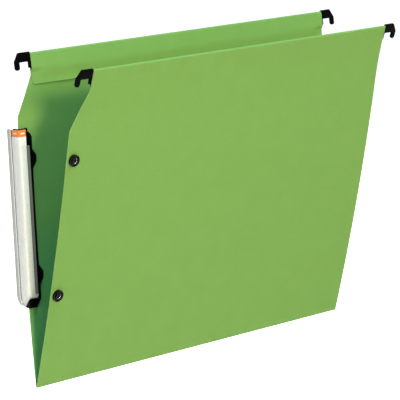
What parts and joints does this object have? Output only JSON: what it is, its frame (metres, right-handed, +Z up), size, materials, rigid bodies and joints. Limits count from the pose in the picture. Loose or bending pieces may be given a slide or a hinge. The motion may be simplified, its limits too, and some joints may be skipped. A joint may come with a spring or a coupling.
{
  "type": "hanging file folder",
  "caption": "V-shaped green card hanging file folder with steel rails, moulded end hooks, linking press studs and a clear side label holder.",
  "frame": {"origin": "midway between the four hook seats, at seat level", "axes": "+X along the rails away from the label, +Y from the front panel to the back panel, +Z up"},
  "size_m": [0.3504, 0.0764, 0.2535],
  "materials": {
    "card": "matt kraft card",
    "rail_steel": "satin",
    "black_nylon": "moulded nylon",
    "rivet_steel": "satin",
    "black_stud": "black lacquer",
    "spring_steel": "bright wire",
    "black_plastic": "satin",
    "clear_plastic": "clear",
    "label_paper": "matt, with an orange top band"
  },
  "bodies": {
    "back": {"back_panel": "card", "back_rail": "rail_steel", "back_left_hook": "black_nylon", "back_right_hook": "black_nylon", "back_left_hook_rivet": "rivet_steel", "back_right_hook_rivet": "rivet_steel", "upper_stud": "black_stud", "lower_stud": "black_stud", "label_base": "black_plastic", "upper_label_rivet": "black_plastic", "lower_label_rivet": "black_plastic", "label_lens": "clear_plastic"},
    "front": {"front_panel": "card", "front_rail": "rail_steel", "front_left_hook": "black_nylon", "front_right_hook": "black_nylon", "front_left_hook_rivet": "rivet_steel", "front_right_hook_rivet": "rivet_steel", "upper_socket": "black_stud", "upper_socket_cap": "black_stud", "upper_socket_spring": "spring_steel", "lower_socket": "black_stud", "lower_socket_cap": "black_stud", "lower_socket_spring": "spring_steel"},
    "label_insert": {"label_insert": "label_paper"}
  },
  "joints": [
    {"name": "crease", "type": "hinge", "parent": "back", "child": "front", "pos_m": [0, 0, -0.24619], "axis": [1, 0, 0], "range_deg": [-12, 163]},
    {"name": "label_pull", "type": "slide", "parent": "back", "child": "label_insert", "axis": [0, 0.1291, 0.9916], "range_m": [0, 0.12]}
  ]
}
